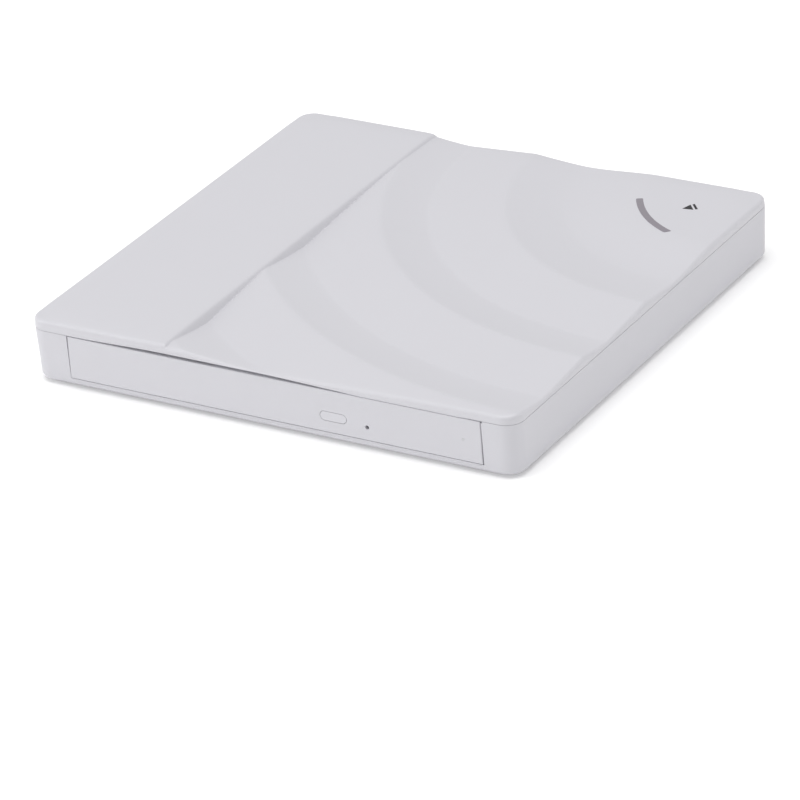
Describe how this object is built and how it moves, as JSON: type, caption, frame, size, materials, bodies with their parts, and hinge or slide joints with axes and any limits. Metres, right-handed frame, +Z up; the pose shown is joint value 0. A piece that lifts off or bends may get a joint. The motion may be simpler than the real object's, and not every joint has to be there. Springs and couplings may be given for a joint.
{
  "type": "external optical drive",
  "caption": "Slim external disc drive in a white two-shell case with a rippled lid, touch eject key and front-loading tray on telescoping rails.",
  "frame": {"origin": "under the middle of the enclosure, on the plane its rubber feet stand on", "axes": "+X to the right along the front, +Y from the tray front to the back, +Z up"},
  "size_m": [0.151, 0.146, 0.0195],
  "materials": {
    "lid_white": "glossy moulded white",
    "shell_white": "semi-gloss moulded white",
    "bezel_white": "semi-gloss moulded white",
    "button_white": "semi-gloss moulded white",
    "foot_rubber": "matte grey rubber",
    "screw_steel": "zinc plated",
    "smoke_guide": "satin silver-grey light guide",
    "symbol_ink": "dark grey inlay",
    "board_green": "solder mask",
    "copper_foil": "bare copper",
    "lamp_white": "translucent white",
    "chip_black": "moulded black epoxy",
    "can_aluminium": "drawn can",
    "socket_nickel": "nickel plated sleeve",
    "contact_blue": "blue moulded tongue",
    "jack_black": "moulded black",
    "contact_gold": "gold plated",
    "case_steel": "zinc coated sheet",
    "foam_grey": "open cell foam",
    "ribbon_amber": "polyimide ribbon",
    "rail_steel": "drawn stainless",
    "tray_grey": "fine textured dark grey",
    "traverse_steel": "pressed sheet",
    "damper_rubber": "soft black rubber",
    "rod_chrome": "ground and polished",
    "cover_steel": "black coated sheet",
    "motor_steel": "pressed can",
    "coil_paint": "lacquered frame",
    "spring_steel": "spring wire",
    "turntable_steel": "turned",
    "claw_acetal": "natural acetal",
    "sled_zinc": "die cast",
    "holder_black": "moulded black",
    "lens_glass": "coated lens"
  },
  "bodies": {
    "enclosure": {"top_cover": "lid_white", "base_shell": "shell_white", "rubber_feet": "foot_rubber", "enclosure_screws": "screw_steel", "touch_light_guide": "smoke_guide", "eject_symbol": "symbol_ink", "touch_board": "board_green", "touch_electrode": "copper_foil", "touch_lamps": "lamp_white", "bridge_board": "board_green", "board_screws": "screw_steel", "bridge_chips": "chip_black", "smoothing_capacitors": "can_aluminium", "usb_socket_sleeve": "socket_nickel", "usb_contact_tongue": "contact_blue", "power_jack": "jack_black", "jack_pin": "contact_gold", "bridge_sata_socket": "jack_black", "drive_bottom_case": "case_steel", "drive_top_case": "case_steel", "connector_board": "board_green", "drive_sata_plug": "jack_black", "foam_pads": "foam_grey", "flex_ribbon": "ribbon_amber", "outer_rails": "rail_steel"},
    "tray": {"tray_runners": "rail_steel", "disc_tray": "tray_grey", "front_bezel": "bezel_white", "activity_lamp": "lamp_white", "button_switch": "chip_black", "front_board": "board_green", "tray_bottom_plate": "case_steel", "main_board": "board_green", "controller_chips": "chip_black", "traverse_plate": "traverse_steel", "traverse_dampers": "damper_rubber", "damper_screws": "screw_steel", "guide_rods": "rod_chrome", "traverse_cover": "cover_steel", "spindle_stator": "motor_steel", "feed_motor": "motor_steel", "latch_axle": "rod_chrome", "solenoid": "coil_paint", "ejector_housing": "tray_grey", "ejector_spring": "spring_steel"},
    "rail_left": {"middle_rail_left": "rail_steel"},
    "rail_right": {"middle_rail_right": "rail_steel"},
    "button": {"eject_button": "button_white"},
    "spindle": {"turntable": "turntable_steel", "turntable_ring": "damper_rubber"},
    "claw_1": {"hub_claw_1": "claw_acetal"},
    "claw_2": {"hub_claw_2": "claw_acetal"},
    "claw_3": {"hub_claw_3": "claw_acetal"},
    "sled": {"pickup_sled": "sled_zinc"},
    "lens": {"lens_holder": "holder_black", "objective_lens": "lens_glass"},
    "feed_screw": {"lead_screw": "rod_chrome"},
    "latch": {"latch_lever": "claw_acetal"},
    "plunger": {"solenoid_plunger": "screw_steel"},
    "ejector": {"ejector_rod": "claw_acetal"}
  },
  "joints": [
    {"name": "tray_slide", "type": "slide", "parent": "enclosure", "child": "tray", "axis": [0, -1, 0], "range_m": [0, 0.125], "deforming": ["flex_ribbon"]},
    {"name": "rail_left_slide", "type": "slide", "parent": "enclosure", "child": "rail_left", "axis": [0, -1, 0], "range_m": [0, 0.0625]},
    {"name": "rail_right_slide", "type": "slide", "parent": "enclosure", "child": "rail_right", "axis": [0, -1, 0], "range_m": [0, 0.0625]},
    {"name": "button_press", "type": "slide", "parent": "tray", "child": "button", "axis": [0, 1, 0], "range_m": [0, 0.0006], "stiffness_N_per_m": 200},
    {"name": "spindle_turn", "type": "hinge", "parent": "tray", "child": "spindle", "pos_m": [0.001, -0.0075, 0.01], "axis": [0, 0, 1], "continuous": true},
    {"name": "sled_travel", "type": "slide", "parent": "tray", "child": "sled", "axis": [-0.7071, -0.7071, 0], "range_m": [0, 0.035]},
    {"name": "lead_screw_turn", "type": "hinge", "parent": "tray", "child": "feed_screw", "pos_m": [-0.01067, -0.04533, 0.0086], "axis": [0.7071, 0.7071, 0], "range_deg": [0, 4200]},
    {"name": "lens_focus", "type": "slide", "parent": "sled", "child": "lens", "axis": [0, 0, 1], "range_m": [-0.0004, 0.0004], "stiffness_N_per_m": 60},
    {"name": "latch_release", "type": "hinge", "parent": "tray", "child": "latch", "pos_m": [0.028, -0.058, 0.0066], "axis": [0, 0, 1], "range_deg": [0, 8]},
    {"name": "plunger_pull", "type": "slide", "parent": "tray", "child": "plunger", "axis": [-1, 0, 0], "range_m": [0, 0.00125], "stiffness_N_per_m": 80},
    {"name": "ejector_push", "type": "slide", "parent": "tray", "child": "ejector", "axis": [0, 1, 0], "range_m": [0, 0.015], "deforming": ["ejector_spring"]},
    {"name": "claw_1_press", "type": "slide", "parent": "spindle", "child": "claw_1", "axis": [0, -1, 0], "range_m": [0, 0.0006], "stiffness_N_per_m": 150},
    {"name": "claw_2_press", "type": "slide", "parent": "spindle", "child": "claw_2", "axis": [0.866, 0.5, 0], "range_m": [0, 0.0006], "stiffness_N_per_m": 150},
    {"name": "claw_3_press", "type": "slide", "parent": "spindle", "child": "claw_3", "axis": [-0.866, 0.5, 0], "range_m": [0, 0.0006], "stiffness_N_per_m": 150}
  ],
  "couplings": [
    {"joint": "rail_left_slide", "follows": "tray_slide", "ratio": 0.5},
    {"joint": "rail_right_slide", "follows": "tray_slide", "ratio": 0.5},
    {"joint": "ejector_push", "follows": "tray_slide", "ratio": 0.12},
    {"joint": "lead_screw_turn", "follows": "sled_travel", "rad_per_m": 2094.4},
    {"joint": "latch_release", "follows": "plunger_pull", "rad_per_m": 111.7}
  ]
}
